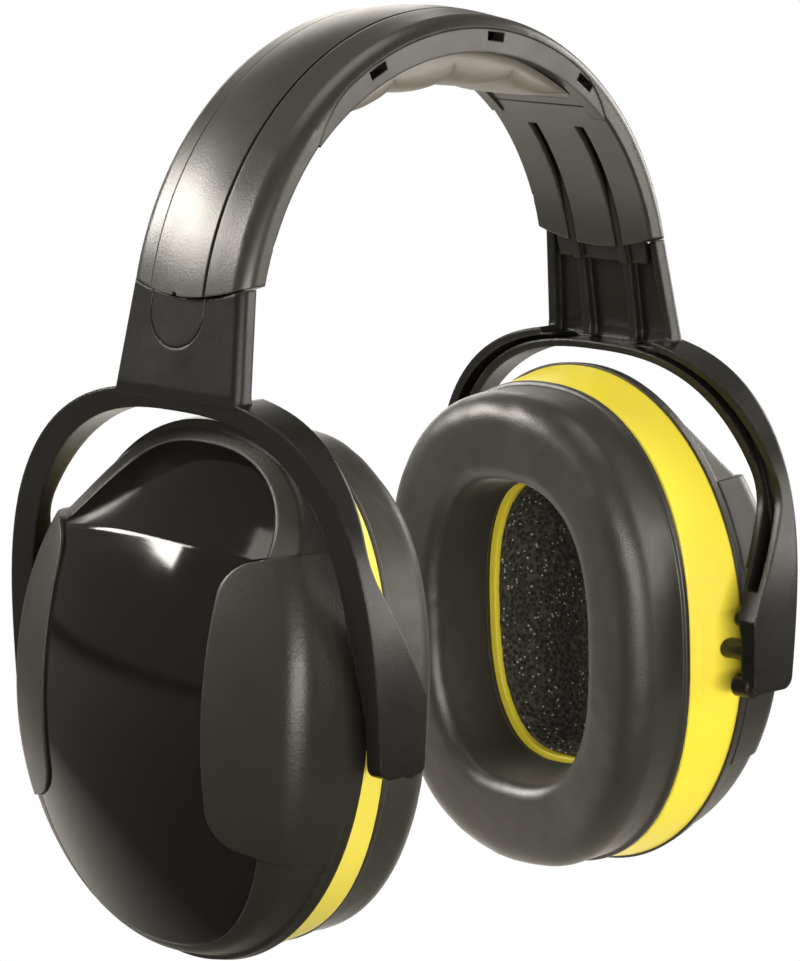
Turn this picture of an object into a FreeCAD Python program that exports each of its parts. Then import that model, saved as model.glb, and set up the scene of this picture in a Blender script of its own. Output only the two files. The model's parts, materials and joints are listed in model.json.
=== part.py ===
"""Earmuff hearing protector: plastic headband, sliding yokes and tilting sound-proof cups.

Millimetres. +X runs from the wearer's one ear to the other, -Y is the front and +Z is up.
The origin is at the bottom centre, where the cups stand on a table.
"""
import FreeCAD
import Part
import math
import os
from FreeCAD import Vector

# ---- headband arch: every section is revolved about one axis that runs front to back
ARCH_R = 61.8              # outer radius on the centre line
ARCH_ABOVE_PIVOT = 65.7    # arch axis above the cup pivots
BAND_END = 77.0            # end of the band, degrees from the top
BAND_HALF = 15.4           # half of the band's width
BAND_EDGE_R = 60.3         # outer radius at the shoulders
BAND_INNER_R = 54.9        # inner radius of flanges and inner wall
BAND_SHOULDER = 3.4        # rounding of the outer long edges
BAND_END_DIP = 2.7         # the end is cut to an arc, lowest in the middle
BAND_CREST = 0.35          # share of the crown's rise that its broad rounding takes away
BAND_EDGE_ROUND = 0.5
END_SPARE = 4.0            # degrees swept past the end before it is cut to its arc
SLEEVE_HALF = 12.0         # half width of the hollow sleeve
SLEEVE_INNER_R = 56.0
SLEEVE_OUTER_R = 59.5
STRIP_Y = 1.4              # the inlaid strip lies a little behind the middle
STRIP_HALF = 7.1
STRIP_THICK = 1.6
STRIP_GAP_FRONT = 0.7      # the open seam on the front side of the strip
STRIP_GAP_REAR = 0.15
STRIP_NOTCH_R = 0.7
SLOT_Y = 6.3               # slots in the inner wall, where the stem's ribs run
SLOT_WIDE = 2.4
SLOT_TOP = 49.0            # where the slots start, degrees from the top

# ---- pad carrier and crown pad
CARRIER_END = 46.0         # degrees from the top
CARRIER_INNER_R = 53.5     # lower edge of the side walls in the middle
CARRIER_TIP_R = 54.6       # and at their tips
CARRIER_WALL = 1.7
WINDOW_R = 58.2            # flange edge over the crown
WINDOW_FLAT = 33.0         # the flange stays that shallow to this angle
WINDOW_DROP = 1.2          # the flange edge sags this far between there and the window's tips
FLOOR_ABOVE = 1.4          # carrier floor above the lower edge of its side walls
FLOOR_THICK = 1.2
CARRIER_GAP = 0.15
CARRIER_SLOT_ANGLES = (-25.0, 8.0, 36.0)
CARRIER_SLOT_LONG = 4.6
CARRIER_SLOT_HIGH = 1.7
PAD_INNER_R = 46.2         # lowest point of the lobes
PAD_END_RISE = 5.0         # lobes grow shallower towards the ends
PAD_BASE = 3.0
PAD_LOBES = 4
PAD_LOBE_STEP = 18.5       # degrees between lobes
PAD_LOBE_R = 11.5
PAD_HALF = 12.0
PAD_EDGE = 3.0

# ---- yoke: stem, fork and sliding tongue
FORK_HALF_Y = 50.2         # outline of the fork seen from the side
FORK_HALF_Z = 57.0
FORK_POWER = 2.65
FORK_ABOVE_PIVOT = 2.3
FORK_BAR_TOP = 4.0         # bar thickness over the cup
FORK_BAR_SIDE = 6.2        # bar thickness beside the cup
FORK_END_THICK = 3.6       # thickness of the flat arm ends
FORK_END_ABOVE = 12.5      # the arms are channelled above this height over the pivot
FORK_END_RAMP = 4.0
FORK_RAMP_FROM = 3.0       # the ends start to thicken here
FORK_BOTTOM = 7.6          # arm ends below the pivot
FORK_WALL = 1.6
STEM_TOP_HALF = 14.5
STEM_ROUND = 2.0           # rounding of the stem's outer long edges
STEM_FOOT_HALF = 17.0
STEM_GAP = 0.35            # to the band's end when pushed right in
STEM_WALL = 1.8
STEM_TOP_X = 58.8          # outer face level with the band's end
STEM_TOP_ABOVE = 80.2      # that height, over the pivot
STEM_FOOT_X = 62.2
STEM_FOOT_ABOVE = 59.5
STEM_DEEP = 3.9
# the fork from the front: (x, height over the pivot, rounding), outer line then head-side line
FORK_OUTER_LINE = ((61.0, 68.0, 0.0), (62.2, 59.5, 30.0), (60.6, 33.5, 60.0), (58.8, 8.5, 40.0))
FORK_FOOT_X = (57.7, 46.5)
FORK_FOOT_ROUND = (2.5, 1.5)
FORK_HEAD_LINE = ((46.1, 7.0, 1.0), (57.8, 31.0, 14.0), (54.0, 56.0, 12.0), (53.8, 68.0, 0.0))
FORK_CHANNEL_FLOOR = 2.0   # outer skin left over the channel on the head side
RIB_THICK = 1.9
RIB_HIGH = 1.0             # ribs stand this far out of the tongue
RIB_INSET = 0.8            # ribs inside the stem stop short of its outer face
SLIDE_LEAN = 16.0          # slide direction, degrees off vertical
TONGUE_THICK = 1.3
TONGUE_UP = 17.5           # tongue length inside the band
TONGUE_IN_STEM = 5.0
TONGUE_CLEAR = 0.15
CAP_HALF = 7.0             # U-shaped cap let into the stem
CAP_THICK = 0.9
CAP_LONG = 9.5
CAP_ROUND = 0.98           # corner rounding as a share of the half width
CAP_GAP = 0.2

# ---- pivots
PIVOT_X = 50.6
PIN_R = 2.0
PIN_RUN = 0.06             # radial running clearance in the cup's bores
PIN_SEAT = 0.02            # the pin's blind seat in the arm
PIN_IN_ARM = 2.2
PIN_IN_RING = 4.0
LUG_X = 48.3
LUG_LONG = 2.3             # they stand this far in from the arm
LUG_SIZES = ((7.0, 1.6), (-6.4, 2.3))   # height over the pivot, radius

# ---- ear cups, upright; u is outward from the seam between ring and shell
SEAM_X = 52.9
CUP_HALF_Y = 41.3
CUP_HALF_Z = 51.2
SEAM_POWER = 2.05          # nearly an ellipse at the seam between shell and ring
CUP_POWER = 2.4            # squarer at the crown and at the cushion
CUP_ABOVE_PIVOT = 1.1
CUP_SPLAY = 2.8            # bottoms apart, degrees
SHELL_DRAFT_Y = 3.4        # the side wall leans in this much at WALL_HIGH
SHELL_DRAFT_Z = 4.6
WALL_HIGH = 18.0
CROWN_HIGH = 24.0
CROWN_DROP = 13.35         # fall of the crown from its middle to its upper and lower ends
CORNER_R = 5.5
RIM_HIGH = 2.4
RIM_PROUD = 0.5
RIM_DRAFT = 0.4
SHELL_WALL = 3.2
SCOOP_LONG = 20.2          # from the cup's top down to the middle of the crease
SCOOP_LEAN = 30.0          # arches the crease, degrees
SCOOP_MARGIN = 1.4         # rim left over the scoop
SCOOP_R = 60.0
CREASE_R = 1.8
PANEL_PROUD = 0.6
# raised side panels, front and rear: side, distance from the middle, top and bottom heights
PANELS = ((-1, 20.5, 28.0, -23.5), (1, 24.0, 29.0, -22.0))
PANEL_CORNER = 7.0
PANEL_FLARE = 6.0          # the panel is taller at the cup's edge
COVER_THICK = 1.5
COVER_GAP = 0.12
COVER_INSET_Y = 8.8        # the cover's outline inside the cup's
COVER_INSET_Z = 4.2

RING_DEEP = 10.2
RING_TAPER_Y = 4.7         # the ring narrows this much towards the cushion
RING_TAPER_Z = 2.3
RING_WALL = 2.0
LIP_STEP_Y = 4.4           # the lip stands this far inside the cushion's hole
LIP_STEP_Z = 3.8
LIP_DEEP = 2.6
LIP_WALL = 1.4
LIP_POWER = 2.6
BOSS_R = 4.4

PLATE_THICK = 1.2
PLATE_CLEAR = 0.15
CUSHION_INSET = 0.8        # inside the ring's front edge
CUSHION_POWER = 2.15
CUSHION_THICK = 14.2
CUSHION_WIDE_Y = 13.6      # width of the cushion's face; the hole narrows from there to the lip
CUSHION_WIDE_Z = 15.5
CUSHION_LIP_CLEAR = 0.9
CUSHION_HOLE_POWER = 2.7
CUSHION_ROUND = 5.8
SOFT_GAP = 0.3
FOAM_INSET_Y = 3.8         # the liner's outline inside the ring's front edge
FOAM_INSET_Z = 5.4
FOAM_DISH = 6.0            # depth of the hollow over the ear
FOAM_DISH_SLOPE = 5.0

OVAL_POINTS = 40
FAR = 90.0                 # beyond every piece, for cutters


def box(x0, x1, y0, y1, z0, z1):
    return Part.makeBox(x1 - x0, y1 - y0, z1 - z0, Vector(x0, y0, z0))


def oval(half_y, half_z, power, x, centre_z=0.0):
    """Closed superellipse in the plane at x, as a smooth periodic curve."""
    points = []
    for i in range(OVAL_POINTS):
        a = 2 * math.pi * i / OVAL_POINTS
        reach = (abs(math.cos(a) / half_y) ** power + abs(math.sin(a) / half_z) ** power) ** (-1 / power)
        points.append(Vector(x, reach * math.cos(a), centre_z + reach * math.sin(a)))
    curve = Part.BSplineCurve()
    curve.interpolate(Points=points, PeriodicFlag=True)
    return Part.Wire([curve.toShape()])


def tapered(first, last):
    """Straight-sided solid between two ovals, each given as half_y, half_z, power, x."""
    return Part.makeLoft([oval(*first), oval(*last)], True, True)


def rounded_outline(corners):
    """Closed wire through (point, radius) corners, each corner rounded by a tangent arc."""
    edges = []
    starts = []
    ends = []
    count = len(corners)
    for i, (here, radius) in enumerate(corners):
        back = (corners[i - 1][0] - here).normalize()
        ahead = (corners[(i + 1) % count][0] - here).normalize()
        half = back.getAngle(ahead) / 2
        if radius <= 0:
            starts.append(here)
            ends.append(here)
            edges.append(None)
            continue
        reach = radius / math.tan(half)
        start = here + back * reach
        end = here + ahead * reach
        middle = here + (back + ahead).normalize() * (radius / math.sin(half) - radius)
        starts.append(start)
        ends.append(end)
        edges.append(Part.Arc(start, middle, end).toShape())
    chain = []
    for i in range(count):
        if edges[i] is not None:
            chain.append(edges[i])
        following = starts[(i + 1) % count]
        if ends[i].distanceToPoint(following) > 1e-6:
            chain.append(Part.LineSegment(ends[i], following).toShape())
    return Part.Wire(chain)


def prism(wire, direction):
    return Part.Face(wire).extrude(direction)


def arch_axis_z():
    return pivot_z() + ARCH_ABOVE_PIVOT


def pivot_z():
    """Height of the pivots that lets the splayed cups just touch the table."""
    down = CUP_HALF_Z + RIM_PROUD - CUP_ABOVE_PIVOT
    outward = SEAM_X - PIVOT_X
    lean = math.radians(CUP_SPLAY)
    return down * math.cos(lean) - outward * math.sin(lean)


def at_arch(radius, degrees, y=0.0):
    a = math.radians(degrees)
    return Vector(radius * math.sin(a), y, arch_axis_z() + radius * math.cos(a))


def arch_sweep(corners, from_degrees, to_degrees):
    """Revolve a section given as ((radius, y), rounding) about the arch axis."""
    wire = rounded_outline([(Vector(0, y, arch_axis_z() + r), rounding) for (r, y), rounding in corners])
    face = Part.Face(wire)
    centre = Vector(0, 0, arch_axis_z())
    face.rotate(centre, Vector(0, 1, 0), from_degrees)
    return face.revolve(centre, Vector(0, 1, 0), to_degrees - from_degrees)


def arch_bar(r0, r1, y0, y1, from_degrees, to_degrees):
    corners = [((r0, y0), 0), ((r1, y0), 0), ((r1, y1), 0), ((r0, y1), 0)]
    return arch_sweep(corners, from_degrees, to_degrees)


def mirrored(shape):
    return shape.mirror(Vector(0, 0, 0), Vector(1, 0, 0))


# ---- headband

def end_cutter(gap):
    """Everything below the arc that ends the band; gap moves the arc down."""
    low = at_arch(BAND_EDGE_R, BAND_END).z - gap
    reach = STEM_FOOT_HALF + 4
    sag_radius = (BAND_HALF ** 2 + BAND_END_DIP ** 2) / (2 * BAND_END_DIP)
    drop = math.sqrt(sag_radius ** 2 - reach ** 2)
    centre = low - BAND_END_DIP + sag_radius
    span = 2 * ARCH_R
    left = Vector(-span, -reach, centre - drop)
    right = Vector(-span, reach, centre - drop)
    arc = Part.Arc(left, Vector(-span, 0, centre - sag_radius), right).toShape()
    floor_z = low - FORK_HALF_Z
    path = [arc,
            Part.LineSegment(right, Vector(-span, reach, floor_z)).toShape(),
            Part.LineSegment(Vector(-span, reach, floor_z), Vector(-span, -reach, floor_z)).toShape(),
            Part.LineSegment(Vector(-span, -reach, floor_z), left).toShape()]
    return prism(Part.Wire(path), Vector(2 * span, 0, 0))


def band_section():
    """Cross-section of the band: flat inside, gently crowned outside."""
    top = BAND_EDGE_R + (ARCH_R - BAND_EDGE_R) * (1 + BAND_CREST)
    return [((BAND_INNER_R, -BAND_HALF), BAND_EDGE_ROUND), ((BAND_EDGE_R, -BAND_HALF), BAND_SHOULDER),
            ((top, 0), ARCH_R), ((BAND_EDGE_R, BAND_HALF), BAND_SHOULDER),
            ((BAND_INNER_R, BAND_HALF), BAND_EDGE_ROUND)]


def window_prism(grow, inner_r, tip_r):
    """The opening in the band's flanges, where the pad carrier shows, along y."""
    outer = WINDOW_R + grow
    tip = CARRIER_END + grow
    bend = (WINDOW_FLAT + tip) / 2 + 1
    a = at_arch(outer, -WINDOW_FLAT)
    b = at_arch(outer, WINDOW_FLAT)
    right_tip = at_arch(BAND_INNER_R, tip)
    left_tip = at_arch(BAND_INNER_R, -tip)
    low_right = at_arch(tip_r, tip)
    low_left = at_arch(tip_r, -tip)
    edges = [Part.Arc(a, at_arch(outer, 0), b).toShape(),
             Part.Arc(b, at_arch(outer - WINDOW_DROP, bend), right_tip).toShape(),
             Part.LineSegment(right_tip, low_right).toShape(),
             Part.Arc(low_right, at_arch(inner_r, 0), low_left).toShape(),
             Part.LineSegment(low_left, left_tip).toShape(),
             Part.Arc(left_tip, at_arch(outer - WINDOW_DROP, -bend), a).toShape()]
    wire = Part.Wire(edges)
    wire.translate(Vector(0, -FAR, 0))
    return prism(wire, Vector(0, 2 * FAR, 0))


def side_zones(y_in, y_out):
    """The two slices front and rear between those distances from the middle."""
    top = arch_axis_z() + FAR
    return [box(-FAR, FAR, -y_out, -y_in, 0, top), box(-FAR, FAR, y_in, y_out, 0, top)]


def headband_shell():
    """The bow: hollow sleeves at both ends, flanges with windows over the crown."""
    end = BAND_END + END_SPARE
    past = BAND_END + 2 * END_SPARE
    below = BAND_INNER_R - CARRIER_GAP - FORK_WALL
    crown_end = CARRIER_END - END_SPARE + 2 * CARRIER_GAP
    body = arch_sweep(band_section(), -end, end)
    body = body.cut(arch_bar(SLEEVE_INNER_R, SLEEVE_OUTER_R, -SLEEVE_HALF, SLEEVE_HALF, -past, past))
    body = body.cut(arch_bar(below, SLEEVE_OUTER_R, -SLEEVE_HALF, SLEEVE_HALF, -crown_end, crown_end))
    window = window_prism(0, below, below)
    for zone in side_zones(SLEEVE_HALF, BAND_HALF + 1):
        body = body.cut(window.common(zone))
    body = body.cut(strip_channel())
    for y in (-SLOT_Y, SLOT_Y):
        for start, stop in ((SLOT_TOP, past), (-past, -SLOT_TOP)):
            body = body.cut(arch_bar(below, SLEEVE_INNER_R + 0.5, y - SLOT_WIDE / 2, y + SLOT_WIDE / 2,
                                     start, stop))
    return body.cut(end_cutter(0))


def strip_channel():
    past = BAND_END + 2 * END_SPARE
    return arch_bar(ARCH_R - STRIP_THICK, ARCH_R + 1, STRIP_Y - STRIP_HALF - STRIP_GAP_FRONT,
                    STRIP_Y + STRIP_HALF + STRIP_GAP_REAR, -past, past)


def headband_strip():
    """Inlaid strip that follows the band's crown, notched at its ends."""
    end = BAND_END + END_SPARE
    bar = arch_bar(ARCH_R - STRIP_THICK, ARCH_R + 1, STRIP_Y - STRIP_HALF, STRIP_Y + STRIP_HALF, -end, end)
    strip = bar.common(arch_sweep(band_section(), -end, end)).cut(end_cutter(0))
    notch_z = at_arch(BAND_EDGE_R, BAND_END).z - BAND_END_DIP
    notch = Part.makeCylinder(STRIP_NOTCH_R, 2 * FAR, Vector(-FAR, STRIP_Y, notch_z), Vector(1, 0, 0))
    return strip.cut(notch)


def pad_carrier():
    """Channel under the crown that holds the pad; its slotted sides fill the flange windows."""
    wall_out = BAND_HALF - CARRIER_GAP
    wall_in = SLEEVE_HALF + 2 * CARRIER_GAP
    window = window_prism(-CARRIER_GAP, CARRIER_INNER_R, CARRIER_TIP_R)
    sides = [window.common(zone) for zone in side_zones(wall_in, wall_out)]
    floor_r = CARRIER_INNER_R + FLOOR_ABOVE
    floor_end = CARRIER_END - END_SPARE
    floor = arch_bar(floor_r, floor_r + FLOOR_THICK, -wall_in - 0.5, wall_in + 0.5, -floor_end, floor_end)
    body = sides[0].fuse([sides[1], floor])
    slot_r = (CARRIER_INNER_R + WINDOW_R + CARRIER_SLOT_HIGH) / 2
    low_r = slot_r - CARRIER_SLOT_HIGH / 2
    half_angle = math.degrees(CARRIER_SLOT_LONG / 2 / slot_r)
    for sign in (-1, 1):
        y0, y1 = sorted((sign * (wall_out + 1), sign * (wall_in - 1)))
        for angle in CARRIER_SLOT_ANGLES:
            middle = -sign * angle
            body = body.cut(arch_bar(low_r, low_r + CARRIER_SLOT_HIGH, y0, y1,
                                     middle - half_angle, middle + half_angle))
    return body.removeSplitter()


def crown_pad():
    """Soft lobed pad under the carrier's floor."""
    top_r = CARRIER_INNER_R + FLOOR_ABOVE - SOFT_GAP
    half = PAD_LOBE_STEP * PAD_LOBES / 2
    base = arch_bar(top_r - PAD_BASE, top_r, -PAD_HALF + PAD_EDGE, PAD_HALF - PAD_EDGE, -half, half)
    lobes = []
    for i in range(PAD_LOBES):
        angle = (i - (PAD_LOBES - 1) / 2) * PAD_LOBE_STEP
        low = PAD_INNER_R + PAD_END_RISE * (angle / half) ** 2
        centre = at_arch(low + PAD_LOBE_R, angle, -PAD_HALF)
        lobes.append(Part.makeCylinder(PAD_LOBE_R, 2 * PAD_HALF, centre, Vector(0, 1, 0)))
    lobed = lobes[0].fuse(lobes[1:])
    limit = arch_bar(PAD_INNER_R - 1, top_r, -PAD_HALF, PAD_HALF, -half - PAD_EDGE, half + PAD_EDGE)
    return lobed.common(limit).fuse(base).removeSplitter()


# ---- yokes (built for +X)

def slide_direction():
    lean = math.radians(SLIDE_LEAN)
    return Vector(math.sin(lean), 0, -math.cos(lean))


def over_pivot(points):
    return [(Vector(x, 0, pivot_z() + height), rounding) for x, height, rounding in points]


def fork_profile(inward=0.0):
    """The fork seen from the front: outer line, foot, head-side line."""
    foot = [(x, -FORK_BOTTOM, rounding) for x, rounding in zip(FORK_FOOT_X, FORK_FOOT_ROUND)]
    corners = over_pivot(list(FORK_OUTER_LINE) + foot + list(FORK_HEAD_LINE))
    return slab([(point - Vector(inward, 0, 0), rounding) for point, rounding in corners])


def stem_profile(inward=0.0, deep=STEM_DEEP):
    """The stem seen from the front: a slanting slab, deep from its outer face."""
    top_x = STEM_TOP_X - inward
    foot_x = STEM_FOOT_X - inward
    low = STEM_FOOT_ABOVE - FORK_BAR_SIDE
    return slab(over_pivot([(top_x, STEM_TOP_ABOVE, 0), (foot_x, STEM_FOOT_ABOVE, 0), (foot_x, low, 0),
                            (foot_x - deep, low, 0), (foot_x - deep, STEM_FOOT_ABOVE, 0),
                            (top_x - deep, STEM_TOP_ABOVE, 0)]))


def slab(corners):
    wire = rounded_outline(corners)
    wire.translate(Vector(0, -FAR, 0))
    return prism(wire, Vector(0, 2 * FAR, 0))


def fork_bar(inset):
    """Side-view band between the fork's outer and inner outlines, along x, thinned by inset."""
    centre = pivot_z() + FORK_ABOVE_PIVOT
    outer = Part.Face(oval(FORK_HALF_Y - inset, FORK_HALF_Z - inset, FORK_POWER, 0, centre))
    inner = Part.Face(oval(FORK_HALF_Y - FORK_BAR_SIDE + inset, FORK_HALF_Z - FORK_BAR_TOP + inset,
                           FORK_POWER, 0, centre))
    return outer.cut(inner).extrude(Vector(FAR, 0, 0))


def band_end_z():
    """Height of the corners at the band's end."""
    return at_arch(BAND_EDGE_R, BAND_END).z


def stem_prism(inset):
    """Side outline of the stem, along x, from inside the fork's bar up past the band's end."""
    top = band_end_z() + BAND_END_DIP
    foot = pivot_z() + FORK_ABOVE_PIVOT + FORK_HALF_Z - FORK_BAR_TOP / 2
    corners = [Vector(0, -STEM_FOOT_HALF + inset, foot), Vector(0, STEM_FOOT_HALF - inset, foot),
               Vector(0, STEM_TOP_HALF - inset, top), Vector(0, -STEM_TOP_HALF + inset, top)]
    return prism(Part.makePolygon(corners + corners[:1]), Vector(FAR, 0, 0))


def slanted_bar(origin, direction, long, inward, outward, y0, y1):
    """Straight bar along direction, reaching inward (towards the head) and outward of its line."""
    normal = Vector(direction.z, 0, -direction.x)
    corners = [origin + normal * inward, origin - normal * outward,
               origin - normal * outward + direction * long, origin + normal * inward + direction * long]
    wire = Part.makePolygon(corners + corners[:1])
    wire.translate(Vector(0, y0, 0))
    return prism(wire, Vector(0, y1 - y0, 0))


def tongue():
    """Straight plate that slides in the band's sleeve, with the two ribs that show in its slots."""
    direction = slide_direction()
    middle_r = SLEEVE_INNER_R + TONGUE_CLEAR + TONGUE_THICK / 2
    touch = at_arch(middle_r, 90.0 - SLIDE_LEAN)
    end = at_arch(middle_r, BAND_END)
    origin = touch + direction * ((end - touch).dot(direction) - TONGUE_UP)
    long = TONGUE_UP + TONGUE_IN_STEM
    half = SLEEVE_HALF - TONGUE_CLEAR
    thick = TONGUE_THICK / 2
    pieces = [slanted_bar(origin, direction, long, thick, thick, -half, half)]
    for y in (-SLOT_Y, SLOT_Y):
        pieces.append(slanted_bar(origin, direction, long, thick + RIB_HIGH, 0,
                                  y - RIB_THICK / 2, y + RIB_THICK / 2))
    return pieces


def cap_prism(grow):
    """U-shaped outline of the stem's cap, along x."""
    top = band_end_z() + BAND_END_DIP
    low = band_end_z() - BAND_END_DIP - CAP_LONG - grow
    half = CAP_HALF + grow
    corners = [(Vector(STEM_FOOT_X - STEM_DEEP, STRIP_Y + y, z), rounding)
               for y, z, rounding in ((-half, top, 0), (-half, low, half * CAP_ROUND),
                                      (half, low, half * CAP_ROUND), (half, top, 0))]
    outline = rounded_outline(corners)
    outline.translate(Vector(-STEM_DEEP, 0, 0))
    return prism(outline, Vector(FAR, 0, 0))


def lugs():
    """Two round stops on the inside of each arm end."""
    pieces = []
    base = FORK_HALF_Y - FORK_END_THICK / 2
    long = LUG_LONG + FORK_END_THICK / 2
    for sign in (-1, 1):
        for height, radius in LUG_SIZES:
            start = Vector(LUG_X, sign * base, pivot_z() + height)
            pieces.append(Part.makeCylinder(radius, long, start, Vector(0, -sign, 0)))
    return pieces


def arm_recess():
    """Space between the flat arm ends, below the full-depth part of the fork."""
    end_half = FORK_HALF_Y - FORK_END_THICK
    high = pivot_z() + FORK_END_ABOVE + FORK_END_RAMP
    corners = [Vector(0, 0, -FAR), Vector(0, end_half, -FAR),
               Vector(0, end_half, pivot_z() + FORK_RAMP_FROM),
               Vector(0, FORK_HALF_Y - FORK_BAR_SIDE, high), Vector(0, 0, high)]
    recess = prism(Part.makePolygon(corners + corners[:1]), Vector(FAR, 0, 0))
    return [recess, recess.mirror(Vector(0, 0, 0), Vector(0, 1, 0))]


def runs_down_outside(edge):
    """True for the long outer edges of the stem."""
    box_of = edge.BoundBox
    return box_of.ZLength > STEM_DEEP and box_of.XMax > STEM_FOOT_X - 0.01


def yoke():
    """Fork over the cup, stem, tongue and lugs in one moulding, channelled on the head side."""
    z = pivot_z()
    top = band_end_z() + BAND_END_DIP
    fork = fork_bar(0).common(fork_profile()).cut(box(0, FAR, -FAR, FAR, -FAR, z - FORK_BOTTOM))
    fork = fork.cut(arm_recess())
    channel = fork_bar(FORK_WALL).common(fork_profile(FORK_CHANNEL_FLOOR))
    channel = channel.cut(box(0, FAR, -FAR, FAR, -FAR, z + FORK_END_ABOVE))
    stem = stem_prism(0).common(stem_profile())
    outer_edges = [edge for edge in stem.Edges if runs_down_outside(edge)]
    stem = stem.makeFillet(STEM_ROUND, outer_edges)
    hollow = stem_prism(STEM_WALL).common(stem_profile(FORK_CHANNEL_FLOOR, 2 * STEM_DEEP))
    body = fork.fuse(stem).cut([channel, hollow])
    foot = z + STEM_FOOT_ABOVE - FORK_BAR_SIDE
    rib_zone = stem_prism(0).common(stem_profile(RIB_INSET, STEM_DEEP - RIB_INSET))
    for y in (-SLOT_Y, SLOT_Y):
        body = body.fuse(rib_zone.common(box(0, FAR, y - RIB_THICK / 2, y + RIB_THICK / 2, foot, top)))
    stem_end = box(0, FAR, -FORK_HALF_Y, FORK_HALF_Y, top - CAP_LONG, top + CAP_LONG)
    body = body.cut(stem_end.cut(end_cutter(STEM_GAP)))
    body = body.cut(cap_prism(CAP_GAP).cut(stem_profile(CAP_THICK, FAR / 2)))
    body = body.fuse(tongue() + lugs())
    for sign in (-1, 1):
        seat_from = FORK_HALF_Y - FORK_END_THICK - 1
        start = Vector(PIVOT_X, sign * seat_from, z)
        body = body.cut(Part.makeCylinder(PIN_R + PIN_SEAT, PIN_IN_ARM + 1, start, Vector(0, sign, 0)))
    return body.removeSplitter()


def stem_cap():
    """U-shaped cap that lies flush in the top of the stem."""
    skin = stem_profile(0, CAP_THICK)
    return skin.common(cap_prism(0)).common(end_cutter(STEM_GAP)).removeSplitter()


def pivot_pins():
    """Two steel pins, seated in the arm ends and running in the cup's bores."""
    outer = FORK_HALF_Y - FORK_END_THICK + PIN_IN_ARM
    inner = CUP_HALF_Y - PIN_IN_RING
    pins = []
    for sign in (-1, 1):
        start = Vector(PIVOT_X, sign * inner, pivot_z())
        pins.append(Part.makeCylinder(PIN_R, outer - inner, start, Vector(0, sign, 0)))
    return Part.makeCompound(pins)


# ---- ear cups (built upright about their own centre, seam plane at x = 0, then set in place)

def placed(shape):
    """Move a cup piece to the +X side and splay it about the pivots."""
    moved = shape.copy()
    moved.translate(Vector(SEAM_X, 0, pivot_z() + CUP_ABOVE_PIVOT))
    moved.rotate(Vector(PIVOT_X, 0, pivot_z()), Vector(0, 1, 0), -CUP_SPLAY)
    return moved


def crown_r():
    """Radius of the crown's sphere."""
    reach = CUP_HALF_Z - SHELL_DRAFT_Z
    return (reach ** 2 + CROWN_DROP ** 2) / (2 * CROWN_DROP)


def dome(offset):
    """Solid of the shell's outer form, grown by offset."""
    high = CROWN_HIGH + 4
    share = high / WALL_HIGH
    wall = tapered((CUP_HALF_Y + offset, CUP_HALF_Z + offset, SEAM_POWER, 0),
                   (CUP_HALF_Y + offset - SHELL_DRAFT_Y * share,
                    CUP_HALF_Z + offset - SHELL_DRAFT_Z * share, CUP_POWER, high))
    centre = Vector(CROWN_HIGH - crown_r(), 0, 0)
    crown = Part.makeSphere(crown_r() + offset, centre)
    crown.rotate(centre, Vector(0, 0, 1), 180)
    body = wall.common(crown)
    corner = [edge for edge in body.Edges if edge.BoundBox.XMin > RIM_HIGH]
    return body.makeFillet(CORNER_R + offset, corner)


def crease_height():
    return CUP_HALF_Z - SCOOP_LONG


def scoop(offset):
    """Ring-shaped cutter that hollows the top of the shell above an arched crease."""
    crown_centre = Vector(CROWN_HIGH - crown_r(), 0, 0)
    crease_x = crown_centre.x + math.sqrt(crown_r() ** 2 - crease_height() ** 2)
    crease = Vector(crease_x, 0, crease_height())
    top = Vector(RIM_HIGH, 0, CUP_HALF_Z - SCOOP_MARGIN)
    middle = (crease + top) * 0.5
    chord = top - crease
    out = Vector(chord.z, 0, -chord.x).normalize()
    centre = middle + out * math.sqrt(SCOOP_R ** 2 - (chord.Length / 2) ** 2)
    lean = math.radians(SCOOP_LEAN)
    axis = Vector(-math.sin(lean), 0, math.cos(lean))
    axis_point = crown_centre + axis * (centre - crown_centre).dot(axis)
    ring = Part.makeTorus((centre - axis_point).Length, SCOOP_R - offset, axis_point, axis)
    ring.rotate(axis_point, axis, 180)
    return ring.common(box(RIM_HIGH + offset, FAR, -FAR, FAR, 0, FAR))


def cup_form(offset):
    return dome(offset).cut(scoop(offset))


def outer_form():
    """The shell's outer form with its crease rounded."""
    form = cup_form(0)
    low, high = crease_height() - SCOOP_LONG / 4, crease_height() + SOFT_GAP
    crease = [edge for edge in form.Edges
              if edge.BoundBox.YLength > CUP_HALF_Y and edge.BoundBox.ZMin > low and edge.BoundBox.ZMax < high]
    return form.makeFillet(CREASE_R, crease)


def panel_prism(panel, gap):
    """Side-view outline of a raised side panel, along x."""
    sign, start, top, bottom = panel
    inner = start - gap
    far = CUP_HALF_Y + PANEL_FLARE
    corners = [(Vector(RIM_HIGH, inner, bottom - gap), PANEL_CORNER),
               (Vector(RIM_HIGH, inner, top + gap), PANEL_CORNER),
               (Vector(RIM_HIGH, far, top + PANEL_FLARE + gap), 0),
               (Vector(RIM_HIGH, far, bottom - PANEL_FLARE - gap), 0)]
    solid = prism(rounded_outline(corners), Vector(FAR, 0, 0))
    if sign < 0:
        solid = solid.mirror(Vector(0, 0, 0), Vector(0, 1, 0))
    return solid


def cover_prism(gap):
    """Side-view outline of the glossy cover, along x."""
    low = RIM_HIGH + RIM_DRAFT - gap
    outline = oval(CUP_HALF_Y - COVER_INSET_Y + gap, CUP_HALF_Z - COVER_INSET_Z + gap, CUP_POWER, low)
    solid = prism(outline, Vector(FAR, 0, 0))
    for panel in PANELS:
        solid = solid.cut(panel_prism(panel, -gap))
    return solid


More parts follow.
